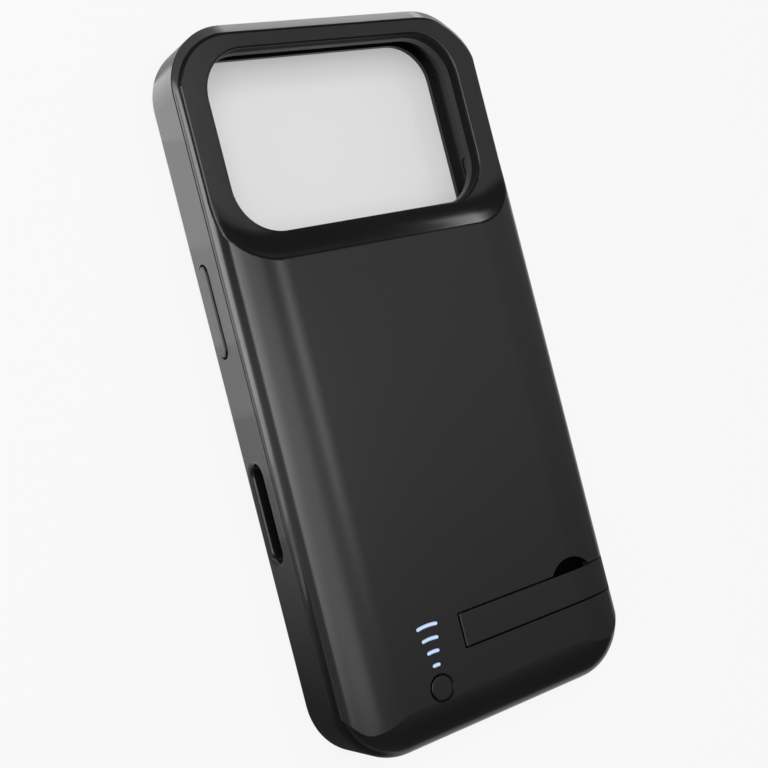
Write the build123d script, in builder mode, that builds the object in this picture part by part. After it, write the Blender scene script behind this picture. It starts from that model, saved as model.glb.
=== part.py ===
from build123d import *
import math
import os

os.makedirs("parts", exist_ok=True)

# Overall form: X across, Y to the top end, Z out of the back, front rim on Z = 0
case_width = 78.0
case_length = 161.0
case_thickness = 18.6
corner_radius = 14.2
parting_z = 12.2
rim_radius = 1.2
parting_round = 0.15

# Pocket and the walls round it
side_wall = 2.9
top_wall = 2.6
chin = 8.1
pocket_depth = 8.9
front_lip = 1.2
lip_overhang = 1.6
plate_seat = 1.0
plate_clearance = 0.05

# Edge of the hump: two tangent arcs along the sides and a tighter pair round the ends
edge_slope = 20.0
side_edge_radius = 4.0
side_crown_radius = 32.0
end_edge_radius = 5.0
end_crown_radius = 16.7
cover_wall = 1.5
seam_height = 0.5
seam_depth = 0.8

# Sunk ring round the rear window
ring_z = 15.2
ring_edge_radius = 1.0
ring_end_lean = 2.6
window_side_gap = 6.6
window_top_gap = 6.1
window_height = 40.2
window_radius = 10.5
window_edge_radius = 0.6
scoop_run = 8.2
scoop_corner = 21.5
scoop_gap = 6.3

# Swing-out stand in its recess
stand_length = 43.4
stand_width = 7.15
stand_side_gap = 2.1
stand_rise = 21.5
stand_gap = 0.45
stand_end_gap = 0.45
stand_depth = 2.8
stand_under_gap = 0.15
stand_heel = 1.4
stand_heel_round = 0.35
recess_floor = 1.2
pin_diameter = 1.0
pin_clearance = 0.05
pin_socket = 1.3
notch_from_tip = 10.7
notch_radius = 7.0
notch_rise = 3.3
notch_depth = 3.8
notch_floor = 0.8

# Button, switch and light bars
button_from_stand = 8.6
button_rise = 11.55
button_diameter = 5.3
button_gap = 0.2
button_bevel = 0.3
button_flange = 7.4
button_flange_height = 0.5
button_sink = 0.05
button_stem = 2.6
switch_size = 3.6
switch_height = 0.9
plunger_diameter = 1.8
plunger_height = 0.5
plunger_sunk = 0.25
bar_radii = (5.04, 8.02, 10.83, 13.73)
bar_half_angle = 11.65
bar_width = 0.85
bar_gap = 0.05
guide_web = 0.8
guide_width = 7.4
guide_margin = 1.2
lamp_length = 1.6
lamp_width = 0.8
lamp_height = 0.5

# Board, cell and their fixings
standoff = 0.25
board_thickness = 0.7
board_side_gap = 6.0
board_end_gap = 2.5
board_length = 23.8
screw_side_gap = 7.0
screw_end_gap = 2.45
screw_diameter = 1.1
screw_head = 2.2
screw_head_height = 0.7
screw_length = 1.2
boss_diameter = 3.4
chip_size = 5.0
chip_height = 0.9
chip_x = 11.0
inductor_size = 6.0
inductor_height = 2.0
inductor_x = 20.0
parts_rise = 10.0
capacitor_size = (2.0, 1.25, 1.0)
capacitor_from_notch = (17.2, 13.7, 10.2)
capacitor_rise = 19.0
cell_side_gap = 9.0
cell_gap = 4.2
cell_scoop_gap = 3.8
cell_height = 4.1
cell_corner = 2.0
tape_margin = 2.0
tape_height = 0.3
strip_length = 24.0
strip_width = 3.2
tab_spacing = 18.0
tab_size = (4.0, 2.6, 0.15)
lead_x = 4.0
lead_diameter = 0.9
lead_bend = 0.7
lead_rise = 0.9

# Charging inlet and pocket plug
inlet_width = 8.9
inlet_height = 3.1
inlet_depth = 5.6
inlet_wall = 0.3
inlet_sink = 0.8
inlet_gap = 0.2
tongue_width = 6.7
tongue_height = 0.7
plug_width = 8.25
plug_height = 2.4
plug_reach = 6.6
plug_wall = 0.3
chin_wall = 1.5
chin_bay_width = 19.0
chin_bay_floor = 2.2
base_width = 16.0
base_height = 6.4
base_gap = 0.2
socket_depth = 1.2
flex_x = 6.5
flex_width = 3.0
flex_thickness = 0.25
sound_slot_x = 20.0
sound_slot_length = 13.0
sound_slot_height = 2.6

# Keys, set out from the top end
key_z = 5.0
key_height = 3.4
key_gap = 0.5
key_proud = 0.35
key_skin = 1.05
key_slot = 1.2
key_flange = 0.7
key_flange_margin = 0.8
key_nub_inset = 0.15
key_round = 0.35
side_key_drop = 59.4
side_key_length = 20.0
volume_up_drop = 52.0
volume_down_drop = 67.0
volume_key_length = 11.0
action_key_drop = 37.0
action_key_length = 7.0

# Side slot
slot_drop = 104.0
slot_z = 5.1
slot_length = 21.4
slot_height = 5.4
slot_round = 1.2

# Derived positions
half_width = case_width / 2
half_length = case_length / 2
pocket_width = case_width - 2 * side_wall
pocket_length = case_length - top_wall - chin
pocket_radius = corner_radius - side_wall
pocket_half = pocket_width / 2
pocket_high = half_length - top_wall
pocket_low = chin - half_length
pocket_mid = (pocket_high + pocket_low) / 2
plate_z = front_lip + pocket_depth
plate_top = parting_z
plate_thickness = plate_top - plate_z
plate_grow = plate_seat - plate_clearance
board_z = plate_top + standoff
board_top = board_z + board_thickness
ceiling = case_thickness - cover_wall
window_width = case_width - 2 * window_side_gap
window_mid = half_length - window_top_gap - window_height / 2
scoop_start = window_mid - window_height / 2 - scoop_gap
stand_right = half_width - stand_side_gap
stand_left = stand_right - stand_length
stand_y = stand_rise - half_length
notch_x = stand_right - notch_from_tip
notch_y = stand_y + stand_width / 2 + notch_rise - notch_radius
notch_z = case_thickness - notch_depth
recess_z = case_thickness - stand_depth
pin_x = stand_left + stand_heel
pin_z = case_thickness - stand_heel
button_x = stand_left - button_from_stand
button_y = button_rise - half_length
board_width = case_width - 2 * board_side_gap
board_low = board_end_gap - half_length
board_high = board_low + board_length
screw_x = board_width / 2 - screw_side_gap
screw_low = board_low + screw_end_gap
screw_high = board_high - screw_end_gap
low_bosses = [(-screw_x, screw_low), (screw_x, screw_low)]
high_bosses = [(-screw_x, screw_high), (screw_x, screw_high)]
cell_width = case_width - 2 * cell_side_gap
cell_low = board_high + cell_gap
cell_length = scoop_start - cell_scoop_gap - cell_low
cell_mid = cell_low + cell_length / 2
plug_z = front_lip + pocket_depth / 2
chin_low = -half_length + chin_wall
chin_high = pocket_low - chin_wall
inlet_z = board_z + board_thickness / 2
inlet_mouth = inlet_sink - half_length
base_high = chin_high - base_gap
base_low = chin_low + base_gap
base_mid = (base_low + base_high) / 2
base_top = chin_bay_floor + base_height
slot_y = half_length - slot_drop
side_key_y = half_length - side_key_drop
volume_up_y = half_length - volume_up_drop
volume_down_y = half_length - volume_down_drop
action_key_y = half_length - action_key_drop
lamp_top = board_top + lamp_height
switch_top = board_top + switch_height
stem_end = switch_top + plunger_height


def edge_face(plane, half, inner, low, high, edge_radius, crown_radius):
    """Half section of the hump: wall, edge arc, crown arc, flat top."""
    s = math.radians(edge_slope)
    m = (math.pi / 2 - s) / 2
    n = math.pi / 2 - s / 2
    start = high - edge_radius * math.cos(s) - crown_radius * (1 - math.cos(s))
    u1 = edge_radius * (1 - math.sin(s))
    z1 = start + edge_radius * math.cos(s)
    u2 = u1 + crown_radius * math.sin(s)
    with BuildSketch(plane) as face:
        with BuildLine():
            Polyline((half - u2, high), (inner, high), (inner, low), (half, low), (half, start))
            ThreePointArc((half, start),
                          (half - edge_radius * (1 - math.cos(m)), start + edge_radius * math.sin(m)),
                          (half - u1, z1))
            ThreePointArc((half - u1, z1),
                          (half - u2 + crown_radius * math.cos(n), high - crown_radius * (1 - math.sin(n))),
                          (half - u2, high))
        make_face()
    return face.sketch


def hump(inset, low):
    """The hump's form, moved inwards by inset."""
    hw = half_width - inset
    hl = half_length - inset
    r = corner_radius - inset
    high = case_thickness - inset
    end = (end_edge_radius - inset, end_crown_radius - inset)
    side = (side_edge_radius - inset, side_crown_radius - inset)
    right = edge_face(Plane.XZ, hw, hw - r, low, high, *end)
    turn = edge_face(Plane.XZ.offset(r - hl), hw, hw - r, low, high, *end)
    head = edge_face(Plane.YZ, hl, hl - r, low, high, *end)
    along = edge_face(Plane.XZ, hw, 0, low, high, *side)
    with BuildPart() as bar:
        extrude(along, amount=hl + 1, both=True)
        mirror(about=Plane.YZ)
    with BuildPart() as form:
        extrude(right, amount=r - hl)
        extrude(head, amount=hw - r)
        revolve(turn, axis=Axis((hw - r, hl - r, 0), (0, 0, 1)), revolution_arc=90)
        with Locations((0, 0, low)):
            Box(hw - r, hl - r, high - low, align=(Align.MIN, Align.MIN, Align.MIN))
        mirror(about=Plane.YZ)
        mirror(about=Plane.XZ)
        add(bar.part, mode=Mode.INTERSECT)
    return form.part


def scoop():
    """Space above the sunk ring, with a hollow slope up to the hump."""
    rise = case_thickness - ring_z
    radius = (scoop_run ** 2 + rise ** 2) / (2 * rise)
    foot = scoop_start + scoop_run
    a = math.asin(scoop_run / radius) / 2
    mid = (foot - radius * math.sin(a), ring_z + radius * (1 - math.cos(a)))
    high = case_thickness + 2
    far = half_length + 2
    centre_x = half_width + scoop_run - scoop_corner
    centre_y = scoop_start + scoop_corner
    faces = []
    for plane in (Plane.YZ, Plane.YZ.offset(centre_x)):
        with BuildSketch(plane) as face:
            with BuildLine():
                Polyline((foot, ring_z), (centre_y, ring_z), (centre_y, high), (scoop_start, high),
                         (scoop_start, case_thickness))
                ThreePointArc((scoop_start, case_thickness), mid, (foot, ring_z))
            make_face()
        faces.append(face.sketch)
    with BuildPart() as tool:
        extrude(faces[0], amount=centre_x)
        revolve(faces[1], axis=Axis((centre_x, centre_y, 0), (0, 0, 1)), revolution_arc=90)
        with Locations((0, centre_y, ring_z)):
            Box(half_width + scoop_run, far - centre_y, high - ring_z,
                align=(Align.MIN, Align.MIN, Align.MIN))
        mirror(about=Plane.YZ)
    return tool.part


def wall_plane(side, x, y, z):
    return Plane(origin=(side * x, y, z), x_dir=(0, 1, 0), z_dir=(side, 0, 0))


def wall_slot(side, x, y, z, length, height):
    """Round-ended slot drawn on a side wall."""
    with BuildSketch(wall_plane(side, x, y, z)) as face:
        SlotOverall(length, height)
    return face.sketch


def slot_flare():
    """Space outside the rounded mouth of the side slot."""
    reach = (slot_length - slot_height) / 2
    edge = slot_z + slot_height / 2
    inner = slot_round - half_width
    mid = (1 - math.sqrt(0.5)) * slot_round
    faces = []
    for y in (slot_y, slot_y - reach, slot_y + reach):
        with BuildSketch(Plane.XZ.offset(-y)) as face:
            with BuildLine():
                Polyline((inner, edge), (inner, slot_z), (-half_width - 1, slot_z),
                         (-half_width - 1, edge + slot_round), (-half_width, edge + slot_round))
                ThreePointArc((-half_width, edge + slot_round), (mid - half_width, edge + mid),
                              (inner, edge))
            make_face()
        faces.append(face.sketch)
    with BuildPart() as tool:
        extrude(faces[0], amount=reach, both=True)
        mirror(about=Plane.XY.offset(slot_z))
        revolve(faces[1], axis=Axis((0, slot_y - reach, slot_z), (1, 0, 0)))
        revolve(faces[2], axis=Axis((0, slot_y + reach, slot_z), (1, 0, 0)))
    return tool.part


def key_opening(side, y, length):
    gap = 2 * key_gap
    margin = 2 * key_flange_margin
    back = half_width - key_skin
    inner = back - key_slot
    for x, end, grow in ((half_width + 1, back, gap), (back, inner, gap + margin)):
        face = wall_slot(side, x, y, key_z, length + grow, key_height + grow)
        extrude(face, amount=end - x, mode=Mode.SUBTRACT)
    face = wall_slot(side, inner, y, key_z, length - 2, key_height - 0.8)
    extrude(face, amount=pocket_half - 1 - inner, mode=Mode.SUBTRACT)


def key_body(side, y, length):
    back = half_width - key_skin
    margin = 2 * key_flange_margin
    nub = pocket_half + key_nub_inset
    extrude(wall_slot(side, back, y, key_z, length, key_height), amount=key_skin + key_proud)
    fillet(faces().sort_by(Axis.X)[0 if side < 0 else -1].edges(), key_round)
    face = wall_slot(side, back - key_flange, y, key_z, length + margin, key_height + margin)
    extrude(face, amount=key_flange)
    face = wall_slot(side, nub, y, key_z, length - 2.6, key_height - 1.4)
    extrude(face, amount=back - key_flange - nub)


def inlet_port():
    """Opening for the charging inlet, drawn just outside the low end."""
    with BuildSketch(Plane.XZ.offset(half_length + 1)) as face:
        with Locations((0, inlet_z)):
            SlotOverall(inlet_width + 2 * inlet_gap, inlet_height + 2 * inlet_gap)
    return face.sketch


def notch_face(z):
    """Finger notch above the stand's middle line."""
    with BuildSketch(Plane.XY.offset(z)) as face:
        with Locations((notch_x, notch_y)):
            Circle(notch_radius)
        with Locations((notch_x, stand_y)):
            Rectangle(2 * notch_radius, case_length, align=(Align.CENTER, Align.MIN), mode=Mode.INTERSECT)
    return face.sketch


def end_lean():
    """Space outside the cover's wall where it leans back at the window end."""
    low = parting_z + seam_height
    with BuildSketch(Plane.XY.offset(low)) as outline:
        RectangleRounded(case_width, case_length, corner_radius)
    with BuildPart() as tool:
        with Locations((0, window_mid, low)):
            Box(case_width + 4, half_length - window_mid + 2, ring_z - low,
                align=(Align.CENTER, Align.MIN, Align.MIN))
        lean = math.hypot(ring_end_lean, ring_z - low)
        extrude(outline.sketch, amount=lean, dir=(0, -ring_end_lean / lean, (ring_z - low) / lean),
                mode=Mode.SUBTRACT)
    return tool.part


def bar_face(z, width):
    """The four round-ended light bars, drawn about the button's centre."""
    arcs = []
    for radius in bar_radii:
        a = math.radians(bar_half_angle) - bar_width / 2 / radius
        ends = [(button_x - radius * math.sin(t), button_y + radius * math.cos(t)) for t in (-a, 0, a)]
        arcs.append(Edge.make_three_point_arc(*ends))
    with BuildSketch(Plane.XY.offset(z)) as face:
        for arc in arcs:
            SlotArc(arc, width)
    return face.sketch


with BuildPart() as bumper_frame:
    with BuildSketch():
        RectangleRounded(case_width, case_length, corner_radius)
    extrude(amount=parting_z)
    fillet(faces().sort_by(Axis.Z)[0].edges(), rim_radius)
    fillet(faces().sort_by(Axis.Z)[-1].edges(), parting_round)
    with BuildSketch(Plane.XY.offset(front_lip)):
        with Locations((0, pocket_mid)):
            RectangleRounded(pocket_width, pocket_length, pocket_radius)
    extrude(amount=parting_z, mode=Mode.SUBTRACT)
    with BuildSketch():
        with Locations((0, pocket_mid)):
            RectangleRounded(pocket_width - 2 * lip_overhang, pocket_length - 2 * lip_overhang,
                             pocket_radius - lip_overhang)
    extrude(amount=front_lip, mode=Mode.SUBTRACT)
    with BuildSketch(Plane.XY.offset(plate_z)):
        with Locations((0, pocket_mid)):
            RectangleRounded(pocket_width + 2 * plate_seat, pocket_length + 2 * plate_seat,
                             pocket_radius + plate_seat)
    extrude(amount=parting_z, mode=Mode.SUBTRACT)
    with BuildSketch(Plane.XY.offset(chin_bay_floor)):
        with Locations((0, base_mid)):
            Rectangle(chin_bay_width, chin_high - chin_low)
    extrude(amount=parting_z, mode=Mode.SUBTRACT)
    with BuildSketch(Plane.XZ.offset(-pocket_low)):
        with Locations((0, plug_z)):
            SlotOverall(plug_width + 0.5, plug_height + 0.5)
    extrude(amount=chin_wall, mode=Mode.SUBTRACT)
    with BuildSketch(Plane.XZ.offset(-pocket_low)):
        with Locations((-sound_slot_x, plug_z), (sound_slot_x, plug_z)):
            SlotOverall(sound_slot_length, sound_slot_height)
    extrude(amount=half_length + pocket_low + 1, mode=Mode.SUBTRACT)
    extrude(wall_slot(-1, half_width, slot_y, slot_z, slot_length, slot_height), amount=-(side_wall + 1),
            mode=Mode.SUBTRACT)
    add(slot_flare(), mode=Mode.SUBTRACT)
    extrude(inlet_port(), amount=-(chin_wall + 1), mode=Mode.SUBTRACT)
    key_opening(-1, side_key_y, side_key_length)
    key_opening(1, volume_up_y, volume_key_length)
    key_opening(1, volume_down_y, volume_key_length)
    key_opening(1, action_key_y, action_key_length)
    with BuildSketch(Plane.XY.offset(parting_z)):
        with Locations(*low_bosses):
            Circle(boss_diameter / 2)
    extrude(amount=standoff)
    with BuildSketch(Plane.XY.offset(board_z)):
        with Locations(*low_bosses):
            Circle(screw_diameter / 2)
    extrude(amount=-screw_length, mode=Mode.SUBTRACT)
bumper_frame.part.label = "bumper_frame"
export_step(bumper_frame.part, "parts/bumper_frame.step")

with BuildPart() as mid_plate:
    with BuildSketch(Plane.XY.offset(plate_z)):
        with Locations((0, pocket_mid)):
            RectangleRounded(pocket_width + 2 * plate_grow, pocket_length + 2 * plate_grow,
                             pocket_radius + plate_grow)
        with Locations((0, window_mid)):
            RectangleRounded(window_width, window_height, window_radius, mode=Mode.SUBTRACT)
    extrude(amount=plate_thickness)
    with BuildSketch(Plane.XY.offset(plate_top)):
        with Locations(*high_bosses):
            Circle(boss_diameter / 2)
    extrude(amount=standoff)
    with BuildSketch(Plane.XY.offset(board_z)):
        with Locations(*high_bosses):
            Circle(screw_diameter / 2)
    extrude(amount=-screw_length, mode=Mode.SUBTRACT)
mid_plate.part.label = "mid_plate"
export_step(mid_plate.part, "parts/mid_plate.step")

form = hump(0, parting_z)
keep_low = stand_y - stand_width / 2 - stand_gap - 2.2
keep_high = stand_y + stand_width / 2 + stand_gap + notch_rise + 1.2
keep_left = stand_left - stand_end_gap - recess_floor

with BuildPart() as back_cover:
    add(form)
    add(scoop(), mode=Mode.SUBTRACT)
    add(end_lean(), mode=Mode.SUBTRACT)
    rim = edges().filter_by_position(Axis.Z, ring_z - 0.01, ring_z + 0.01)
    outer = rim.filter_by(lambda e: abs(e.center().X) > half_width - 3 or e.center().Y > half_length - 10.5)
    fillet(outer, ring_edge_radius)
    with BuildPart(mode=Mode.SUBTRACT) as bay:
        add(hump(cover_wall, parting_z - 1))
        with Locations((0, scoop_start - 1.8, parting_z - 1)):
            Box(case_width, case_length, case_thickness, align=(Align.CENTER, Align.MIN, Align.MIN),
                mode=Mode.SUBTRACT)
        with Locations((keep_left, keep_low, recess_z - recess_floor)):
            Box(case_width, keep_high - keep_low, case_thickness, align=(Align.MIN, Align.MIN, Align.MIN),
                mode=Mode.SUBTRACT)
        with Locations((notch_x, notch_y, notch_z - notch_floor)):
            Cylinder(notch_radius + recess_floor, case_thickness,
                     align=(Align.CENTER, Align.CENTER, Align.MIN), mode=Mode.SUBTRACT)
        with Locations((0, scoop_start - 8, parting_z - 1)):
            Box(window_width - 5, 12, 3.1, align=(Align.CENTER, Align.MIN, Align.MIN))
    with BuildSketch(Plane.XY.offset(parting_z)):
        RectangleRounded(case_width + 2, case_length + 2, corner_radius + 1)
        RectangleRounded(case_width - 2 * seam_depth, case_length - 2 * seam_depth,
                         corner_radius - seam_depth, mode=Mode.SUBTRACT)
    extrude(amount=seam_height, mode=Mode.SUBTRACT)
    with BuildSketch(Plane.XY.offset(parting_z)):
        with Locations((0, window_mid)):
            RectangleRounded(window_width, window_height, window_radius)
    extrude(amount=case_thickness, mode=Mode.SUBTRACT)
    mouth = edges().filter_by_position(Axis.Z, ring_z - 0.01, ring_z + 0.5)
    mouth = mouth.filter_by(lambda e: abs(e.center().Y - window_mid) < window_height / 2 + 0.1)
    fillet(mouth.filter_by(lambda e: abs(e.center().X) < window_width / 2 + 0.1), window_edge_radius)
    with Locations((stand_left - stand_end_gap, stand_y, recess_z)):
        Box(case_width, stand_width + 2 * stand_gap, case_thickness,
            align=(Align.MIN, Align.CENTER, Align.MIN), mode=Mode.SUBTRACT)
    extrude(notch_face(notch_z), amount=case_thickness, mode=Mode.SUBTRACT)
    with Locations(Location((pin_x, stand_y, pin_z), (90, 0, 0))):
        Cylinder(pin_diameter / 2, stand_width + 2 * stand_gap + 2 * pin_socket, mode=Mode.SUBTRACT)
    with Locations((button_x, button_y, case_thickness)):
        Cylinder(button_diameter / 2 + button_gap, 2 * cover_wall + 1, mode=Mode.SUBTRACT)
    with Locations((button_x, button_y, case_thickness)):
        Cone(button_diameter / 2 + button_gap, button_diameter / 2 + button_gap + button_bevel, button_bevel,
             align=(Align.CENTER, Align.CENTER, Align.MAX), mode=Mode.SUBTRACT)
    with Locations((button_x, button_y, ceiling)):
        Cylinder(button_flange / 2 + 0.3, 1, align=(Align.CENTER, Align.CENTER, Align.MAX),
                 mode=Mode.SUBTRACT)
    extrude(bar_face(ceiling - 1, bar_width), amount=cover_wall + 2, mode=Mode.SUBTRACT)
    extrude(inlet_port(), amount=-(inlet_depth + 3), mode=Mode.SUBTRACT)
back_cover.part.label = "back_cover"
export_step(back_cover.part, "parts/back_cover.step")

with BuildPart() as kickstand:
    add(form)
    with Locations((stand_left, stand_y, recess_z + stand_under_gap)):
        Box(stand_length, stand_width, case_thickness, align=(Align.MIN, Align.CENTER, Align.MIN),
            mode=Mode.INTERSECT)
    heel = faces().sort_by(Axis.X)[0].edges().filter_by(Axis.Y).sort_by(Axis.Z)
    fillet(heel[-1], stand_heel_round)
    fillet(heel[0], stand_depth - stand_under_gap - stand_heel)
    with Locations(Location((pin_x, stand_y, pin_z), (90, 0, 0))):
        Cylinder(pin_diameter / 2 + pin_clearance, stand_width + 1, mode=Mode.SUBTRACT)
kickstand.part.label = "kickstand"
export_step(kickstand.part, "parts/kickstand.step")

with BuildPart() as kickstand_pin:
    with Locations(Location((pin_x, stand_y, pin_z), (90, 0, 0))):
        Cylinder(pin_diameter / 2, stand_width + 2 * stand_gap + 2 * pin_socket)
kickstand_pin.part.label = "kickstand_pin"
export_step(kickstand_pin.part, "parts/kickstand_pin.step")

with BuildPart() as battery_button:
    with BuildSketch(Plane.XY.offset(ceiling)):
        with Locations((button_x, button_y)):
            Circle(button_diameter / 2)
    extrude(amount=cover_wall - button_sink)
    fillet(faces().sort_by(Axis.Z)[-1].edges(), 0.2)
    with BuildSketch(Plane.XY.offset(ceiling)):
        with Locations((button_x, button_y)):
            Circle(button_flange / 2)
    extrude(amount=-button_flange_height)
    with BuildSketch(Plane.XY.offset(ceiling - button_flange_height)):
        with Locations((button_x, button_y)):
            Circle(button_stem / 2)
    extrude(amount=stem_end - ceiling + button_flange_height)
battery_button.part.label = "battery_button"
export_step(battery_button.part, "parts/battery_button.step")

with BuildPart() as switch_plunger:
    with Locations((button_x, button_y, switch_top - plunger_sunk)):
        Cylinder(plunger_diameter / 2, plunger_height + plunger_sunk,
                 align=(Align.CENTER, Align.CENTER, Align.MIN))
switch_plunger.part.label = "switch_plunger"
export_step(switch_plunger.part, "parts/switch_plunger.step")

with BuildPart() as button_switch:
    with Locations((button_x, button_y, board_top)):
        Box(switch_size, switch_size, switch_height, align=(Align.CENTER, Align.CENTER, Align.MIN))
    with Locations((button_x, button_y, switch_top)):
        Cylinder(plunger_diameter / 2 + 0.1, 2 * (switch_height - 0.25), mode=Mode.SUBTRACT)
button_switch.part.label = "button_switch"
export_step(button_switch.part, "parts/button_switch.step")

with BuildPart() as light_guide:
    guide_low = lamp_top + 0.1
    extrude(bar_face(guide_low, bar_width - 2 * bar_gap), amount=case_thickness - 0.03 - guide_low)
    with BuildSketch(Plane.XY.offset(ceiling)):
        with Locations((button_x, button_y + (bar_radii[0] + bar_radii[-1]) / 2)):
            RectangleRounded(guide_width, bar_radii[-1] - bar_radii[0] + 2 * guide_margin, 1)
    extrude(amount=-guide_web)
light_guide.part.label = "light_guide"
export_step(light_guide.part, "parts/light_guide.step")

with BuildPart() as indicator_leds:
    with Locations([(button_x, button_y + radius, board_top) for radius in bar_radii]):
        Box(lamp_length, lamp_width, lamp_height, align=(Align.CENTER, Align.CENTER, Align.MIN))
indicator_leds.part.label = "indicator_leds"
export_step(indicator_leds.part, "parts/indicator_leds.step")

with BuildPart() as main_board:
    with BuildSketch(Plane.XY.offset(board_z)):
        RectangleRounded(case_width - 2 * cover_wall - 2, case_length - 2 * cover_wall - 2,
                         corner_radius - cover_wall - 1)
        with Locations((0, (board_low + board_high) / 2)):
            Rectangle(board_width, board_length, mode=Mode.INTERSECT)
        with Locations((0, inlet_mouth)):
            Rectangle(inlet_width + inlet_gap, inlet_depth + inlet_gap, align=(Align.CENTER, Align.MIN),
                      mode=Mode.SUBTRACT)
        with Locations(*low_bosses, *high_bosses):
            Circle(screw_diameter / 2 + 0.1, mode=Mode.SUBTRACT)
    extrude(amount=board_thickness)
main_board.part.label = "main_board"
export_step(main_board.part, "parts/main_board.step")

with BuildPart() as board_screws:
    with Locations(*[(x, y, board_top) for x, y in low_bosses + high_bosses]):
        Cylinder(screw_head / 2, screw_head_height, align=(Align.CENTER, Align.CENTER, Align.MIN))
        Cylinder(screw_diameter / 2, board_thickness + screw_length - 0.1,
                 align=(Align.CENTER, Align.CENTER, Align.MAX))
board_screws.part.label = "board_screws"
export_step(board_screws.part, "parts/board_screws.step")

with BuildPart() as charge_controller:
    with Locations((chip_x, parts_rise - half_length, board_top)):
        Box(chip_size, chip_size, chip_height, align=(Align.CENTER, Align.CENTER, Align.MIN))
charge_controller.part.label = "charge_controller"
export_step(charge_controller.part, "parts/charge_controller.step")

with BuildPart() as power_inductor:
    with Locations((inductor_x, parts_rise - half_length, board_top)):
        Box(inductor_size, inductor_size, inductor_height, align=(Align.CENTER, Align.CENTER, Align.MIN))
    chamfer(edges().filter_by(Axis.Z), 0.8)
power_inductor.part.label = "power_inductor"
export_step(power_inductor.part, "parts/power_inductor.step")

with BuildPart() as board_capacitors:
    capacitor_y = capacitor_rise - half_length
    with Locations(*[(notch_x - gap, capacitor_y, board_top) for gap in capacitor_from_notch]):
        Box(*capacitor_size, align=(Align.CENTER, Align.CENTER, Align.MIN))
board_capacitors.part.label = "board_capacitors"
export_step(board_capacitors.part, "parts/board_capacitors.step")

with BuildPart() as battery_tape:
    with Locations((0, cell_mid, plate_top)):
        Box(cell_width - 2 * tape_margin, cell_length - 2 * tape_margin, tape_height,
            align=(Align.CENTER, Align.CENTER, Align.MIN))
battery_tape.part.label = "battery_tape"
export_step(battery_tape.part, "parts/battery_tape.step")

with BuildPart() as battery_cell:
    with Locations((0, cell_mid, plate_top + tape_height)):
        Box(cell_width, cell_length, cell_height, align=(Align.CENTER, Align.CENTER, Align.MIN))
    fillet(edges().filter_by(Axis.Z), cell_corner)
    fillet(faces().sort_by(Axis.Z)[-1].edges(), cell_corner / 2)
battery_cell.part.label = "battery_cell"
export_step(battery_cell.part, "parts/battery_cell.step")

with BuildPart() as cell_protection_board:
    with Locations((0, cell_low - 0.2, plate_top)):
        Box(strip_length, strip_width, board_top - plate_top, align=(Align.CENTER, Align.MAX, Align.MIN))
cell_protection_board.part.label = "cell_protection_board"
export_step(cell_protection_board.part, "parts/cell_protection_board.step")

with BuildPart() as cell_tabs:
    with Locations((-tab_spacing / 2, cell_low, board_top), (tab_spacing / 2, cell_low, board_top)):
        Box(*tab_size, align=(Align.CENTER, Align.MAX, Align.MIN))
cell_tabs.part.label = "cell_tabs"
export_step(cell_tabs.part, "parts/cell_tabs.step")

lead_start = cell_low - strip_width / 2 - 0.2
lead_end = board_high - screw_end_gap


def lead_sweep(x):
    """Lead from the cell's board, up, over and down to the main board."""
    with BuildLine(Plane.YZ.offset(x)) as path:
        FilletPolyline((lead_start, board_top), (lead_start, board_top + lead_rise),
                       (lead_end, board_top + lead_rise), (lead_end, board_top), radius=lead_bend)
    with BuildSketch(Plane((x, lead_start, board_top), z_dir=(0, 0, 1))) as end:
        Circle(lead_diameter / 2)
    sweep(end.sketch, path=path.wire())


with BuildPart() as battery_lead_positive:
    lead_sweep(-lead_x)
battery_lead_positive.part.label = "battery_lead_positive"
export_step(battery_lead_positive.part, "parts/battery_lead_positive.step")

with BuildPart() as battery_lead_negative:
    lead_sweep(lead_x)
battery_lead_negative.part.label = "battery_lead_negative"
export_step(battery_lead_negative.part, "parts/battery_lead_negative.step")

with BuildPart() as inlet_shell:
    with BuildSketch(Plane.XZ.offset(-inlet_mouth)):
        with Locations((0, inlet_z)):
            SlotOverall(inlet_width, inlet_height)
    extrude(amount=-inlet_depth)
    with BuildSketch(Plane.XZ.offset(-inlet_mouth)):
        with Locations((0, inlet_z)):
            SlotOverall(inlet_width - 2 * inlet_wall, inlet_height - 2 * inlet_wall)
    extrude(amount=-(inlet_depth - inlet_wall), mode=Mode.SUBTRACT)
inlet_shell.part.label = "inlet_shell"
export_step(inlet_shell.part, "parts/inlet_shell.step")

with BuildPart() as inlet_tongue:
    with BuildSketch(Plane.XZ.offset(-(inlet_mouth + inlet_depth - inlet_wall))):
        with Locations((0, inlet_z)):
            SlotOverall(inlet_width - 2 * inlet_wall, inlet_height - 2 * inlet_wall)
    extrude(amount=1.5)
    with Locations((0, inlet_mouth + 1.0, inlet_z)):
        Box(tongue_width, inlet_depth - inlet_wall - 2, tongue_height,
            align=(Align.CENTER, Align.MIN, Align.CENTER))
inlet_tongue.part.label = "inlet_tongue"
export_step(inlet_tongue.part, "parts/inlet_tongue.step")

with BuildPart() as plug_shell:
    with BuildSketch(Plane.XZ.offset(socket_depth - base_high)):
        with Locations((0, plug_z)):
            SlotOverall(plug_width, plug_height)
            SlotOverall(plug_width - 2 * plug_wall, plug_height - 2 * plug_wall, mode=Mode.SUBTRACT)
    extrude(amount=-(pocket_low + plug_reach - base_high + socket_depth))
plug_shell.part.label = "plug_shell"
export_step(plug_shell.part, "parts/plug_shell.step")

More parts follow.
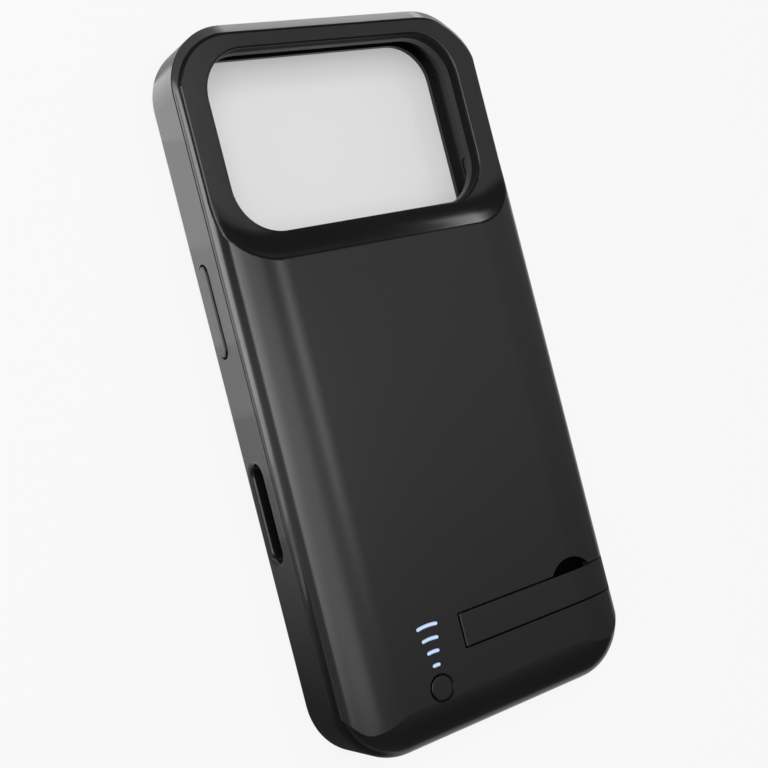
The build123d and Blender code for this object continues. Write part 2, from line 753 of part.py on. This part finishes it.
with BuildPart() as plug_insert:
    with BuildSketch(Plane.XZ.offset(socket_depth - base_high)):
        with Locations((0, plug_z)):
            SlotOverall(plug_width - 2 * plug_wall, plug_height - 2 * plug_wall)
    extrude(amount=-(pocket_low + plug_reach - base_high + socket_depth - 0.3))
    with Locations((0, pocket_low + plug_reach, plug_z)):
        Box(6.5, 10, 0.8, mode=Mode.SUBTRACT)
plug_insert.part.label = "plug_insert"
export_step(plug_insert.part, "parts/plug_insert.step")

with BuildPart() as plug_base:
    with Locations((0, base_mid, chin_bay_floor)):
        Box(base_width, base_high - base_low, base_height, align=(Align.CENTER, Align.CENTER, Align.MIN))
    with BuildSketch(Plane.XZ.offset(-base_high)):
        with Locations((0, plug_z)):
            SlotOverall(plug_width, plug_height)
    extrude(amount=socket_depth, mode=Mode.SUBTRACT)
plug_base.part.label = "plug_base"
export_step(plug_base.part, "parts/plug_base.step")

with BuildPart() as plug_flex:
    with Locations((flex_x, base_mid, base_top)):
        Box(flex_width, flex_thickness, board_z - base_top, align=(Align.CENTER, Align.CENTER, Align.MIN))
plug_flex.part.label = "plug_flex"
export_step(plug_flex.part, "parts/plug_flex.step")

with BuildPart() as side_key:
    key_body(-1, side_key_y, side_key_length)
side_key.part.label = "side_key"
export_step(side_key.part, "parts/side_key.step")

with BuildPart() as volume_up_key:
    key_body(1, volume_up_y, volume_key_length)
volume_up_key.part.label = "volume_up_key"
export_step(volume_up_key.part, "parts/volume_up_key.step")

with BuildPart() as volume_down_key:
    key_body(1, volume_down_y, volume_key_length)
volume_down_key.part.label = "volume_down_key"
export_step(volume_down_key.part, "parts/volume_down_key.step")

with BuildPart() as action_key:
    key_body(1, action_key_y, action_key_length)
action_key.part.label = "action_key"
export_step(action_key.part, "parts/action_key.step")
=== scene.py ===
"""Battery charging case: finishes, contacts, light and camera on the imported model, in metres."""
import math

import bpy
import numpy as np
from mathutils import Matrix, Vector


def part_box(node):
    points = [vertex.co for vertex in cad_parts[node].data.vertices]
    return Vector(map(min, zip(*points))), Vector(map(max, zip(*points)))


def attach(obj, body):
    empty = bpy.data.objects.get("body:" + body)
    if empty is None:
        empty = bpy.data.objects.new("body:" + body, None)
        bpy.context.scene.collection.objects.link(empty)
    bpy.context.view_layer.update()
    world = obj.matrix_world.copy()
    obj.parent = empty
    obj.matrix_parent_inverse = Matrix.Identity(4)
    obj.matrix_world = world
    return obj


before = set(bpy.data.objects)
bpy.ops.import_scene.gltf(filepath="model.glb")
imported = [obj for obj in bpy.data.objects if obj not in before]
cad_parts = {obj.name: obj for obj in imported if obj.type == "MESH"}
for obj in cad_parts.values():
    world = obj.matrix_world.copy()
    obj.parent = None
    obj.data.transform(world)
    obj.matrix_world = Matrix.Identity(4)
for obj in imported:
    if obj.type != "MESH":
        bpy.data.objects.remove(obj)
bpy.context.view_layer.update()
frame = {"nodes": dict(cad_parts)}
nodes = frame["nodes"]
MM = 0.001
WHITE = (1.0, 1.0, 1.0)

# Camera, fitted to the photograph: place, lens, and the picture's right and down directions
CAMERA_AT = (-0.15383, -0.003073, 0.254387)
CAMERA_LENS = 59.857
CAMERA_SENSOR = 36.0
CAMERA_NEAREST = 0.01
PICTURE_RIGHT = np.array((0.827774, -0.2482864, 0.5031343))
PICTURE_DOWN = np.array((-0.2116224, -0.9686861, -0.1298582))

# Case body: half its width and length, its corners, its back and its two blacks
CASE_HALF = (39 * MM, 80.5 * MM)
CASE_CORNER = 14.2 * MM
BACK_Z = 18.6 * MM
BLACK_COVER = (0.0058, 0.0058, 0.0061)
BLACK_FRAME = (0.0085, 0.0085, 0.009)

# Check button, which the light bars are set out from, the bars' half width and their two tones
BUTTON_AT = (-15.1 * MM, -68.95 * MM)
BAR_RADII = np.array((5.04, 8.02, 10.83, 13.73)) * MM
BAR_HALF = 0.38 * MM
BAR_MIDDLE = (0.62, 0.74, 0.90)
BAR_EDGE = (0.32, 0.46, 0.70)

# Finger notch over the stand, and the stand's middle
NOTCH_AT = (26.2 * MM, -59.125 * MM)
NOTCH_RADIUS = 7.0 * MM
STAND_Y = -59.0 * MM

# Window and the sunk ring round it
RING_Z = 15.2 * MM
WINDOW_Y = 54.3 * MM
WINDOW_HALF = (32.5 * MM, 20.2 * MM)

# Painted shade in the notch and the window's wall: the notch's share of the colour, added roughness, how metallic
# each is
NOTCH_PAINTED_SHADE = 0.1
OPENING_ROUGH = 0.6
# The black metallic takes the reflections out there, which is painted shade as well
SHADED_NOTCH_METALLIC = 0.9
SHADED_WALL_METALLIC = 0.6

# Contacts: how many in a row, their pitch, width and thickness, each row's length and setback, and the half
# heights of the inlet's tongue and of the gap in the plug
CONTACT_COUNT = 12
CONTACT_PITCH = 0.5 * MM
CONTACT_WIDTH = 0.26 * MM
CONTACT_THICK = 0.06 * MM
INLET_CONTACT_LENGTH = 2.6 * MM
INLET_CONTACT_SETBACK = 0.3 * MM
PLUG_CONTACT_LENGTH = 3.6 * MM
PLUG_CONTACT_SETBACK = 4.0 * MM
TONGUE_HALF = 0.35 * MM
PLUG_GAP_HALF = 0.4 * MM

# Ground just under the rim: its colour, its share of plain white where it is seen and in reflections, and the
# share of that white that is taken off under the case
FLOOR_REACH = 3.0
FLOOR_Z = -0.02 * MM
FLOOR_COLOUR = (0.86, 0.86, 0.86)
FLOOR_WHITE = 0.85
FLOOR_WHITE_REFLECTED = 0.2
UNDER_DIMMED = 0.6

# Black cards by the left wall and the low left corner: how closed they are, where they fade along X and Y, their
# outer sides, the line at the wall's foot where the two meet, and the corner card's high side
FLAG_Z = 0.1 * MM
FLAG_OPACITY = 0.92
FLAG_FADE_X = (-32 * MM, -8 * MM)
FLAG_FADE_Y = (-82 * MM, 2 * MM)
FLAG_LEFT = -500 * MM
FLAG_LOW = -250 * MM
FLAG_MEET = -38.5 * MM
CORNER_HIGH = -66 * MM

# Lamps overhead: the line along the hump's left roll that they are aimed at and how far off they hang, then each
# one's tilt, width, and lengths that change towards the low end, from low to high Y with its radiance
ROLL_X, ROLL_Z = -0.03, 0.017
LAMP_REACH = 0.7
OVERHEAD = {
    "strip_left": (23.0, 25.0, ((-0.06, 0.35, 3.8), (-0.17, -0.06, 2.3), (-0.238, -0.17, 1.5))),
    "strip_right": (
        -19.5, 6.0, ((0.0, 0.35, 2.7), (-0.07, 0.0, 2.1), (-0.11, -0.07, 1.4), (-0.16, -0.11, 0.5))),
    "panel_top": (2.0, 14.0, ((-0.17, 0.35, 1.25), (-0.25, -0.17, 1.5))),
}

# Glowing cards along the left wall, brighter towards the window end: left and right sides, then high and low Y in
# millimetres with the radiance
CARD_Z = 0.4 * MM
NEAR_SIDES = (-52.0, -37.5)
NEAR = ((80, 60, 1.5), (60, 36, 1.2), (36, 14, 0.95), (14, -2, 0.65), (-2, -16, 0.4), (-16, -30, 0.15))
FAR_SIDES = (-300.0, -56.0)
FAR = ((78, 0, 4.7), (0, -14, 3.7), (-14, -28, 2.4), (-28, -46, 1.1))

# World: level of the glow, and the share of plain white where it is seen and in reflections
GLOW = 1.15
SKY_WHITE = 0.95
SKY_WHITE_REFLECTED = 0.02


class Value:
    """One number in a material or the world, held as a socket; its operators add Math nodes."""

    def __init__(self, nodes, socket):
        self.nodes = nodes
        self.socket = socket

    def _math(self, operation, *terms):
        return self.nodes.node("ShaderNodeMath", {"operation": operation}, dict(enumerate(terms)))

    def __add__(self, other):
        return self._math("ADD", self, other)

    def __radd__(self, other):
        return self._math("ADD", other, self)

    def __sub__(self, other):
        return self._math("SUBTRACT", self, other)

    def __rsub__(self, other):
        return self._math("SUBTRACT", other, self)

    def __mul__(self, other):
        return self._math("MULTIPLY", self, other)

    def __rmul__(self, other):
        return self._math("MULTIPLY", other, self)

    def __abs__(self):
        return self._math("ABSOLUTE", self)

    def positive(self):
        return self._math("MAXIMUM", self, 0.0)

    def root(self):
        return self._math("SQRT", self)

    def wave(self, length):
        """Zigzag from 0 to 1 and back over one length."""
        return self._math("PINGPONG", self, length / 2) * (2 / length)

    def step(self, low, high):
        """Smooth rise from 0 at low to 1 at high."""
        return self.nodes.node(
            "ShaderNodeMapRange",
            {"interpolation_type": "SMOOTHSTEP"},
            {"Value": self, "From Min": low, "From Max": high, "To Min": 0.0, "To Max": 1.0},
        )


class Nodes:
    """A node tree built from expressions."""

    def __init__(self, tree):
        self.tree = tree

    def node(self, kind, settings, inputs, output=0):
        """Adds one node: settings first, then each input's number, colour or link."""
        made = self.tree.nodes.new(kind)
        for key, value in settings.items():
            if key == "stops":
                ramp = made.color_ramp.elements
                ramp.remove(ramp[1])
                for count, (at, level) in enumerate(value):
                    stop = ramp.new(at) if count else ramp[0]
                    stop.position = at
                    stop.color = (level, level, level, 1.0)
            else:
                setattr(made, key, value)
        for key, value in inputs.items():
            self.join(made.inputs[key], value)
        return Value(self, made.outputs[output])

    def join(self, socket, value):
        """Links a value to a socket, or sets the socket's own number or colour."""
        if isinstance(value, Value):
            self.tree.links.new(value.socket, socket)
        elif socket.type == "RGBA" and len(value) == 3:
            socket.default_value = (*value, 1.0)
        else:
            socket.default_value = value

    def rays(self):
        """Three values that are 1 for rays from the camera, for reflected rays and for rays through glass."""
        path = self.tree.nodes.new("ShaderNodeLightPath")
        kinds = ("Is Camera Ray", "Is Glossy Ray", "Is Transmission Ray")
        return [Value(self, path.outputs[kind]) for kind in kinds]


class Finish(Nodes):
    """One material on Object coordinates."""

    def __init__(self, name):
        self.material = bpy.data.materials.new(name)
        self.material.use_nodes = True
        super().__init__(self.material.node_tree)
        self.shader = self.tree.nodes["Principled BSDF"]
        self.place = self.node("ShaderNodeTexCoord", {}, {}, "Object")

    def axis(self, name):
        return self.node("ShaderNodeSeparateXYZ", {}, {"Vector": self.place}, name)

    def noise(self, grain, detail=2.0, rough=0.5):
        """Noise from 0 to 1 whose blotches are about one grain across, in metres."""
        return self.node(
            "ShaderNodeTexNoise",
            {},
            {"Vector": self.place, "Scale": 1 / grain, "Detail": detail, "Roughness": rough},
        )

    def cells(self, grain):
        """Distance to the nearest of scattered points about one grain apart."""
        return self.node("ShaderNodeTexVoronoi", {}, {"Vector": self.place, "Scale": 1 / grain})

    def mix(self, share, a, b):
        """Colour a at share 0 and colour b at share 1."""
        factor, first, second, result = 0, 6, 7, 2
        made = self.tree.nodes.new("ShaderNodeMix")
        made.data_type = "RGBA"
        for socket, value in ((factor, share), (first, a), (second, b)):
            self.join(made.inputs[socket], value)
        return Value(self, made.outputs[result])

    def bump(self, height, depth):
        """Normal of a height from 0 to 1 that is depth metres deep."""
        return self.node(
            "ShaderNodeBump", {}, {"Height": height, "Distance": depth, "Strength": 1.0}, "Normal")

    def set(self, **inputs):
        """Fills the shader's sockets, named with _ for a space."""
        for key, value in inputs.items():
            self.join(self.shader.inputs[key.replace("_", " ")], value)


def painted_shade_masks(f):
    """Share from 0 to 1 of the finger notch's floor and wall, and of the window's inner wall, for painted shade.

    The notch is a circle in plan, from the stand's middle towards the window, below the back. The window's wall
    lies within the window's rectangle in plan, below the ring's rounded edge. Each border is a short smooth step.
    """
    border = 0.1 * MM
    x = f.axis("X") - NOTCH_AT[0]
    y = f.axis("Y") - NOTCH_AT[1]
    inside = 1 - (x * x + y * y).root().step(NOTCH_RADIUS - border / 2, NOTCH_RADIUS + border)
    inside = inside * f.axis("Y").step(STAND_Y - 5 * border, STAND_Y)
    notch = inside * (1 - f.axis("Z").step(BACK_Z - 3 * border, BACK_Z - border))
    beside = 1 - (abs(f.axis("X")) - WINDOW_HALF[0]).step(0.0, border)
    beside = beside * (1 - (abs(f.axis("Y") - WINDOW_Y) - WINDOW_HALF[1]).step(0.0, border))
    return notch, beside * (1 - f.axis("Z").step(RING_Z - 7 * border, RING_Z - 3 * border))


def moulded_plastic(name, colour, rough, grain, depth, paint_shade=False):
    """Black moulded plastic: a fine spark-eroded grain, slow drifts in tone and gloss, painted shade in notch and
    window wall.
    """
    f = Finish(name)
    darker, paler, drift_size = 0.86, 1.16, 22 * MM
    drift = f.noise(drift_size)
    pits = f.cells(grain)
    shade = f.mix(drift, [c * darker for c in colour], [c * paler for c in colour])
    gloss = rough + 0.05 * (drift - 0.5) + 0.06 * (f.noise(grain * 2.6) - 0.5)
    if paint_shade:
        # Painted shade: the notch darker, and it and the window's inner wall rougher and metallic, without
        # reflections
        notch, wall = painted_shade_masks(f)
        shade = f.mix(notch, shade, [c * NOTCH_PAINTED_SHADE for c in colour])
        gloss = gloss + OPENING_ROUGH * (notch + wall)
        f.set(Metallic=SHADED_NOTCH_METALLIC * notch + SHADED_WALL_METALLIC * wall)
    f.set(Base_Color=shade, Roughness=gloss, Normal=f.bump(pits, depth), IOR=1.5)
    return f


def light_bar():
    """Lit diffuser: pale blue, whiter along the middle of each bar."""
    f = Finish("lit_bar")
    x = f.axis("X") - BUTTON_AT[0]
    y = f.axis("Y") - BUTTON_AT[1]
    radius = (x * x + y * y).root()
    across = 1.0
    for r in BAR_RADII:
        across = across * abs(radius - float(r)).step(0.0, BAR_HALF)
    glow = f.mix(across, BAR_MIDDLE, BAR_EDGE)
    f.set(Base_Color=(0.06, 0.08, 0.11), Roughness=0.3, Emission_Color=glow, Emission_Strength=1.0)
    return f


def metal(name, colour, rough, line):
    """Rolled or turned metal with fine lines along X."""
    f = Finish(name)
    darker, stretch = 0.9, (0.06, 1.0, 1.0)
    stretched = f.node("ShaderNodeMapping", {}, {"Vector": f.place, "Scale": stretch})
    lines = f.node("ShaderNodeTexNoise", {}, {"Vector": stretched, "Scale": 1 / line, "Detail": 3.0})
    f.set(
        Base_Color=f.mix(lines, [c * darker for c in colour], colour),
        Roughness=rough + 0.12 * (lines - 0.5),
        Metallic=1.0,
        Normal=f.bump(lines, 0.004 * MM),
    )
    return f


def solder_mask():
    """Green board: copper runs as a raised zigzag grid under the mask."""
    f = Finish("solder_mask")
    run_pitch, run_length, patch_size = 1.6 * MM, 6.2 * MM, 3.5 * MM
    runs = f.axis("X").wave(run_pitch).step(0.36, 0.44) * f.axis("Y").wave(run_length).step(0.1, 0.16)
    copper = runs * f.noise(patch_size).step(0.46, 0.5)
    f.set(
        Base_Color=f.mix(copper, (0.012, 0.085, 0.045), (0.03, 0.16, 0.085)),
        Roughness=0.32 + 0.1 * f.noise(0.6 * MM),
        Normal=f.bump(copper, 0.03 * MM),
    )
    return f


def pouch_foil():
    """Aluminium laminate of the cell: soft creases and a fine rolled grain."""
    f = Finish("pouch_foil")
    crease = f.noise(14 * MM, detail=4.0)
    f.set(
        Base_Color=f.mix(crease, (0.5, 0.51, 0.53), (0.66, 0.67, 0.69)),
        Roughness=0.34 + 0.16 * f.noise(0.4 * MM),
        Metallic=0.9,
        Normal=f.bump(crease, 0.3 * MM),
    )
    return f


def grained(name, dark, pale, rough, grain, depth):
    """Plain small part: two tones of one colour over a grain."""
    f = Finish(name)
    speck = f.noise(grain, detail=3.0)
    f.set(
        Base_Color=f.mix(speck, dark, pale),
        Roughness=rough + 0.12 * (speck - 0.5),
        Metallic=0.0,
        Normal=f.bump(speck, depth),
    )
    return f


def suede_lining():
    """Inner plate: short microfibre nap."""
    f = Finish("suede_lining")
    nap = f.noise(0.35 * MM, detail=4.0, rough=0.7)
    f.set(
        Base_Color=f.mix(nap, (0.008, 0.008, 0.009), (0.026, 0.026, 0.028)),
        Roughness=0.92,
        Normal=f.bump(nap, 0.12 * MM),
        Sheen_Weight=0.35,
        Sheen_Roughness=0.5,
    )
    return f


cover = moulded_plastic("cover_plastic", BLACK_COVER, 0.2, 0.22 * MM, 0.002 * MM, paint_shade=True)
insert = moulded_plastic("insert_plastic", BLACK_COVER, 0.2, 0.22 * MM, 0.002 * MM)
frame_skin = moulded_plastic("frame_plastic", BLACK_FRAME, 0.26, 0.26 * MM, 0.004 * MM)
key_skin = moulded_plastic("key_plastic", BLACK_FRAME, 0.28, 0.2 * MM, 0.004 * MM)
steel = metal("plain_steel", (0.6, 0.6, 0.61), 0.32, 0.12 * MM)
black_steel = metal("blackened_steel", (0.012, 0.012, 0.013), 0.45, 0.1 * MM)
gold = metal("gold_plate", (0.83, 0.62, 0.25), 0.24, 0.05 * MM)
board = solder_mask()
chip = grained("chip_resin", (0.011, 0.011, 0.012), (0.02, 0.02, 0.021), 0.5, 0.1 * MM, 0.004 * MM)
insulator = grained(
    "contact_block", (0.012, 0.012, 0.013), (0.018, 0.018, 0.019), 0.38, 0.15 * MM, 0.003 * MM)
lamp_body = grained("lamp_body", (0.75, 0.74, 0.68), (0.85, 0.84, 0.8), 0.4, 0.2 * MM, 0.004 * MM)
ferrite = grained("ferrite", (0.05, 0.05, 0.055), (0.085, 0.085, 0.09), 0.55, 0.25 * MM, 0.02 * MM)
ceramic = grained("ceramic_tan", (0.34, 0.25, 0.16), (0.46, 0.36, 0.24), 0.4, 0.3 * MM, 0.004 * MM)
foam = grained("foam_tape", (0.03, 0.03, 0.03), (0.055, 0.055, 0.055), 0.9, 0.3 * MM, 0.05 * MM)
red_lead = grained("red_lead", (0.4, 0.02, 0.02), (0.55, 0.04, 0.035), 0.45, 0.5 * MM, 0.01 * MM)
black_lead = grained("black_lead", (0.013, 0.013, 0.013), (0.025, 0.025, 0.025), 0.45, 0.5 * MM, 0.01 * MM)
ribbon = grained("ribbon_film", (0.42, 0.2, 0.04), (0.55, 0.3, 0.07), 0.3, 0.5 * MM, 0.004 * MM)
finishes = {
    "bumper_frame": frame_skin,
    "mid_plate": suede_lining(),
    "back_cover": cover,
    "kickstand": insert,
    "battery_button": insert,
    "kickstand_pin": black_steel,
    "switch_plunger": chip,
    "button_switch": steel,
    "light_guide": light_bar(),
    "indicator_leds": lamp_body,
    "main_board": board,
    "board_screws": steel,
    "charge_controller": chip,
    "power_inductor": ferrite,
    "board_capacitors": ceramic,
    "battery_cell": pouch_foil(),
    "battery_tape": foam,
    "cell_protection_board": board,
    "cell_tabs": steel,
    "battery_lead_positive": red_lead,
    "battery_lead_negative": black_lead,
    "inlet_shell": steel,
    "inlet_tongue": insulator,
    "plug_shell": steel,
    "plug_insert": insulator,
    "plug_base": insulator,
    "plug_flex": ribbon,
    "side_key": key_skin,
    "volume_up_key": key_skin,
    "volume_down_key": key_skin,
    "action_key": key_skin,
}
for name, finish in finishes.items():
    slots = nodes[name].data.materials
    slots.clear()
    slots.append(finish.material)


def contact_pads(name, length, low, z):
    """Row of flat contacts on both faces of a tongue, centred on X = 0.

    Each contact is a box: its corners are its centre plus or minus half its size, and the row steps along X by
    the pitch. low is where a contact starts along Y, and z is the two faces' heights.
    """
    half = np.array((CONTACT_WIDTH, length, CONTACT_THICK)) / 2
    x = (np.arange(CONTACT_COUNT) - (CONTACT_COUNT - 1) / 2) * CONTACT_PITCH
    x, face = (a.ravel() for a in np.meshgrid(x, z, indexing="ij"))
    centre = np.stack((x, np.full_like(x, low + half[1]), face), axis=-1)
    signs = np.array([(i, j, k) for k in (-1, 1) for i, j in ((-1, -1), (1, -1), (1, 1), (-1, 1))])
    corners = centre[:, None, :] + half * signs
    sides = np.array(((3, 2, 1, 0), (4, 5, 6, 7), (0, 1, 5, 4), (1, 2, 6, 5), (2, 3, 7, 6), (3, 0, 4, 7)))
    faces = sides[None] + len(signs) * np.arange(len(centre))[:, None, None]
    mesh = bpy.data.meshes.new(name)
    mesh.from_pydata(corners.reshape(-1, 3).tolist(), [], faces.reshape(-1, 4).tolist())
    mesh.materials.append(gold.material)
    row = bpy.data.objects.new(name, mesh)
    bpy.context.scene.collection.objects.link(row)
    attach(row, "case")


tongue_low, tongue_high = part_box("inlet_tongue")
tongue_z = (tongue_low[2] + tongue_high[2]) / 2
contact_pads("inlet_contacts", INLET_CONTACT_LENGTH, tongue_low[1] + INLET_CONTACT_SETBACK,
             (tongue_z - TONGUE_HALF, tongue_z + TONGUE_HALF))
plug_low, plug_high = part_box("plug_insert")
plug_z = (plug_low[2] + plug_high[2]) / 2
contact_pads("plug_contacts", PLUG_CONTACT_LENGTH, plug_high[1] - PLUG_CONTACT_SETBACK,
             (plug_z - PLUG_GAP_HALF, plug_z + PLUG_GAP_HALF))


def pale_floor():
    """White ground: lit softly where it is shaded, and mostly plain white to the camera and through glass.

    Under the case, within a rounded rectangle a little smaller than its outline, more of the lit ground shows,
    so that the shade under the case shows in the window.
    """
    f = Finish("pale_floor")
    f.set(Base_Color=FLOOR_COLOUR, Roughness=0.9)
    seen, shine, through = f.rays()
    white = f.node("ShaderNodeEmission", {}, {"Color": WHITE, "Strength": 1.0})
    x = (abs(f.axis("X")) - (CASE_HALF[0] - CASE_CORNER)).positive()
    y = (abs(f.axis("Y")) - (CASE_HALF[1] - CASE_CORNER)).positive()
    under = 1 - (x * x + y * y).root().step(CASE_CORNER - 4 * MM, CASE_CORNER - 1 * MM)
    from_camera = FLOOR_WHITE * seen * (1 - UNDER_DIMMED * under)
    share = from_camera + FLOOR_WHITE_REFLECTED * shine + FLOOR_WHITE * through
    out = f.tree.nodes["Material Output"]
    both = f.node("ShaderNodeMixShader", {}, {0: share, 1: Value(f, f.shader.outputs[0]), 2: white})
    f.join(out.inputs["Surface"], both)
    return f


def black_card():
    """Black card: closed beyond the low left corner, clear to the case's middle and along the low end."""
    f = Finish("black_card")
    beside = 1 - f.axis("Y").step(*FLAG_FADE_Y)
    corner = 1 - f.axis("X").step(*FLAG_FADE_X)
    f.set(
        Base_Color=(0.0, 0.0, 0.0),
        Roughness=1.0,
        Specular_IOR_Level=0.0,
        Alpha=FLAG_OPACITY * beside * corner,
    )
    return f


def sheet(name, left, right, low, high, height, finish):
    """Flat sheet on the ground: a grid of four faces each way between its sides, at one height."""
    count = 4
    x, y = np.meshgrid(np.linspace(left, right, count + 1), np.linspace(low, high, count + 1), indexing="ij")
    points = np.stack((x, y, np.full_like(x, height)), axis=-1).reshape(-1, 3)
    at = np.arange((count + 1) ** 2).reshape(count + 1, count + 1)
    faces = np.stack((at[:-1, :-1], at[1:, :-1], at[1:, 1:], at[:-1, 1:]), axis=-1).reshape(-1, 4)
    mesh = bpy.data.meshes.new(name)
    mesh.from_pydata(points.tolist(), [], faces.tolist())
    mesh.materials.append(finish.material)
    made = bpy.data.objects.new(name, mesh)
    bpy.context.scene.collection.objects.link(made)
    return made


# Ground, and the black cards, which only reflections show
sheet("floor", -FLOOR_REACH, FLOOR_REACH, -FLOOR_REACH, FLOOR_REACH, FLOOR_Z, pale_floor())
black = black_card()
for flag in (
    sheet("flag", FLAG_LEFT, FLAG_MEET, FLAG_LOW, FLAG_FADE_Y[1], FLAG_Z, black),
    sheet("corner_flag", FLAG_MEET, FLAG_FADE_X[1], FLAG_LOW, CORNER_HIGH, FLAG_Z, black),
):
    flag.visible_camera = False
    flag.visible_diffuse = False
    flag.visible_shadow = False
    flag.visible_transmission = False


def placed(side, along, back, at):
    """Matrix of an object at a point, from the directions of its own X, Y and Z."""
    turn = np.eye(4)
    turn[:3] = np.column_stack((side, along, back, at))
    return Matrix(turn.tolist())


def soft_box(name, at, aim, size, radiance, diffuse=True):
    """Flat lamp of that size in metres, at one point and turned to another, as bright as its radiance."""
    lamp = bpy.data.lights.new(name, "AREA")
    lamp.shape = "RECTANGLE"
    lamp.size, lamp.size_y = size
    lamp.energy = radiance * math.pi * size[0] * size[1]
    made = bpy.data.objects.new(name, lamp)
    back = np.array(at, float) - np.array(aim, float)
    back /= np.linalg.norm(back)
    side = np.cross((0.0, 1.0, 0.0), back)
    side /= np.linalg.norm(side)
    made.matrix_world = placed(side, np.cross(back, side), back, at)
    made.visible_camera = False
    made.visible_diffuse = diffuse
    bpy.context.scene.collection.objects.link(made)


def over(name, degrees, width, low, high, radiance):
    """Lamp from low to high along Y, tilted from overhead to the left, its tilt and width in degrees."""
    tilt = math.radians(degrees)
    y = (low + high) / 2
    at = (ROLL_X - LAMP_REACH * math.sin(tilt), y, LAMP_REACH * math.cos(tilt))
    span = 2 * LAMP_REACH * math.tan(math.radians(width / 2))
    soft_box(name, at, (ROLL_X, y, ROLL_Z), (span, high - low), radiance)


def card(name, left, right, low, high, radiance):
    """Glowing card lying on the ground, its sides in millimetres."""
    at = ((left + right) / 2 * MM, (low + high) / 2 * MM, CARD_Z)
    soft_box(name, at, (at[0], at[1], 1.0), ((right - left) * MM, (high - low) * MM), radiance)


for name, (tilt, width, lengths) in OVERHEAD.items():
    for count, (low, high, radiance) in enumerate(lengths):
        over(f"{name}_{count}", tilt, width, low, high, radiance)

# Card standing beyond the window's right end, for the soft light on the right end of the scoop
soft_box("beyond_window", at=(0.094, 0.107, 0.026), aim=(0.030, 0.029, 0.018), size=(0.052, 0.028),
         radiance=3.0, diffuse=False)

# Cards along the left wall, and one beyond the window end
for high, low, radiance in NEAR:
    card(f"near_{high}", *NEAR_SIDES, low, high, radiance)
for high, low, radiance in FAR:
    card(f"far_{high}", *FAR_SIDES, low, high, radiance)
card("beyond", left=-8.0, right=90.0, low=110.0, high=124.0, radiance=4.0)

# World: a soft glow over the case from side to side, fading to both ends, and a pale horizon
world = bpy.data.worlds.new("studio")
world.use_nodes = True
bpy.context.scene.world = world
sky = Nodes(world.node_tree)
way = sky.node("ShaderNodeTexCoord", {}, {}, "Generated")


def along_sky(axis, *stops):
    """Curve over one component of the direction, from -1 to 1, through stops of place and level."""
    part = sky.node("ShaderNodeSeparateXYZ", {}, {"Vector": way}, axis)
    curve = [((at + 1) / 2, level) for at, level in stops]
    return sky.node("ShaderNodeValToRGB", {"stops": curve}, {0: part * 0.5 + 0.5})


across = along_sky(
    "X", (-1, 0.8), (-0.3, 0.8), (0.2, 1.0), (0.42, 0.86), (0.53, 0.68), (0.62, 0.57), (1, 0.3))
endwise = along_sky(
    "Y", (-1, 0.13), (-0.6, 0.1), (-0.4, 0.16), (-0.3, 0.28), (-0.25, 0.42), (-0.22, 0.49), (-0.18, 0.58),
    (-0.13, 0.68), (-0.065, 0.82), (0, 0.92), (0.08, 0.97), (0.25, 0.93), (0.45, 0.09))
horizon = along_sky("Z", (-0.1, 0.5), (0.05, 0.4), (0.2, 0.03))
dimmed = along_sky("Y", (-0.6, 0.1), (-0.2, 0.6), (0.1, 1), (0.6, 0.2))
shade = along_sky("X", (0.43, 0.85), (0.5, 0)) * along_sky("Y", (0.05, 0), (0.12, 1), (0.23, 1), (0.29, 0))
light = GLOW * across * endwise * (1 - shade) + horizon * dimmed
seen, shine, through = sky.rays()
white = SKY_WHITE * seen + SKY_WHITE_REFLECTED * shine + SKY_WHITE * through
backdrop = sky.tree.nodes["Background"]
sky.join(backdrop.inputs["Color"], WHITE)
sky.join(backdrop.inputs["Strength"], light * (1 - white) + white)

camera = bpy.data.cameras.new("camera")
camera.lens = CAMERA_LENS
camera.sensor_width = CAMERA_SENSOR
camera.clip_start = CAMERA_NEAREST
view = bpy.data.objects.new("camera", camera)
view.matrix_world = placed(PICTURE_RIGHT, -PICTURE_DOWN, np.cross(PICTURE_RIGHT, -PICTURE_DOWN), CAMERA_AT)
bpy.context.scene.collection.objects.link(view)
bpy.context.scene.camera = view
bpy.context.scene.view_settings.view_transform = "Standard"
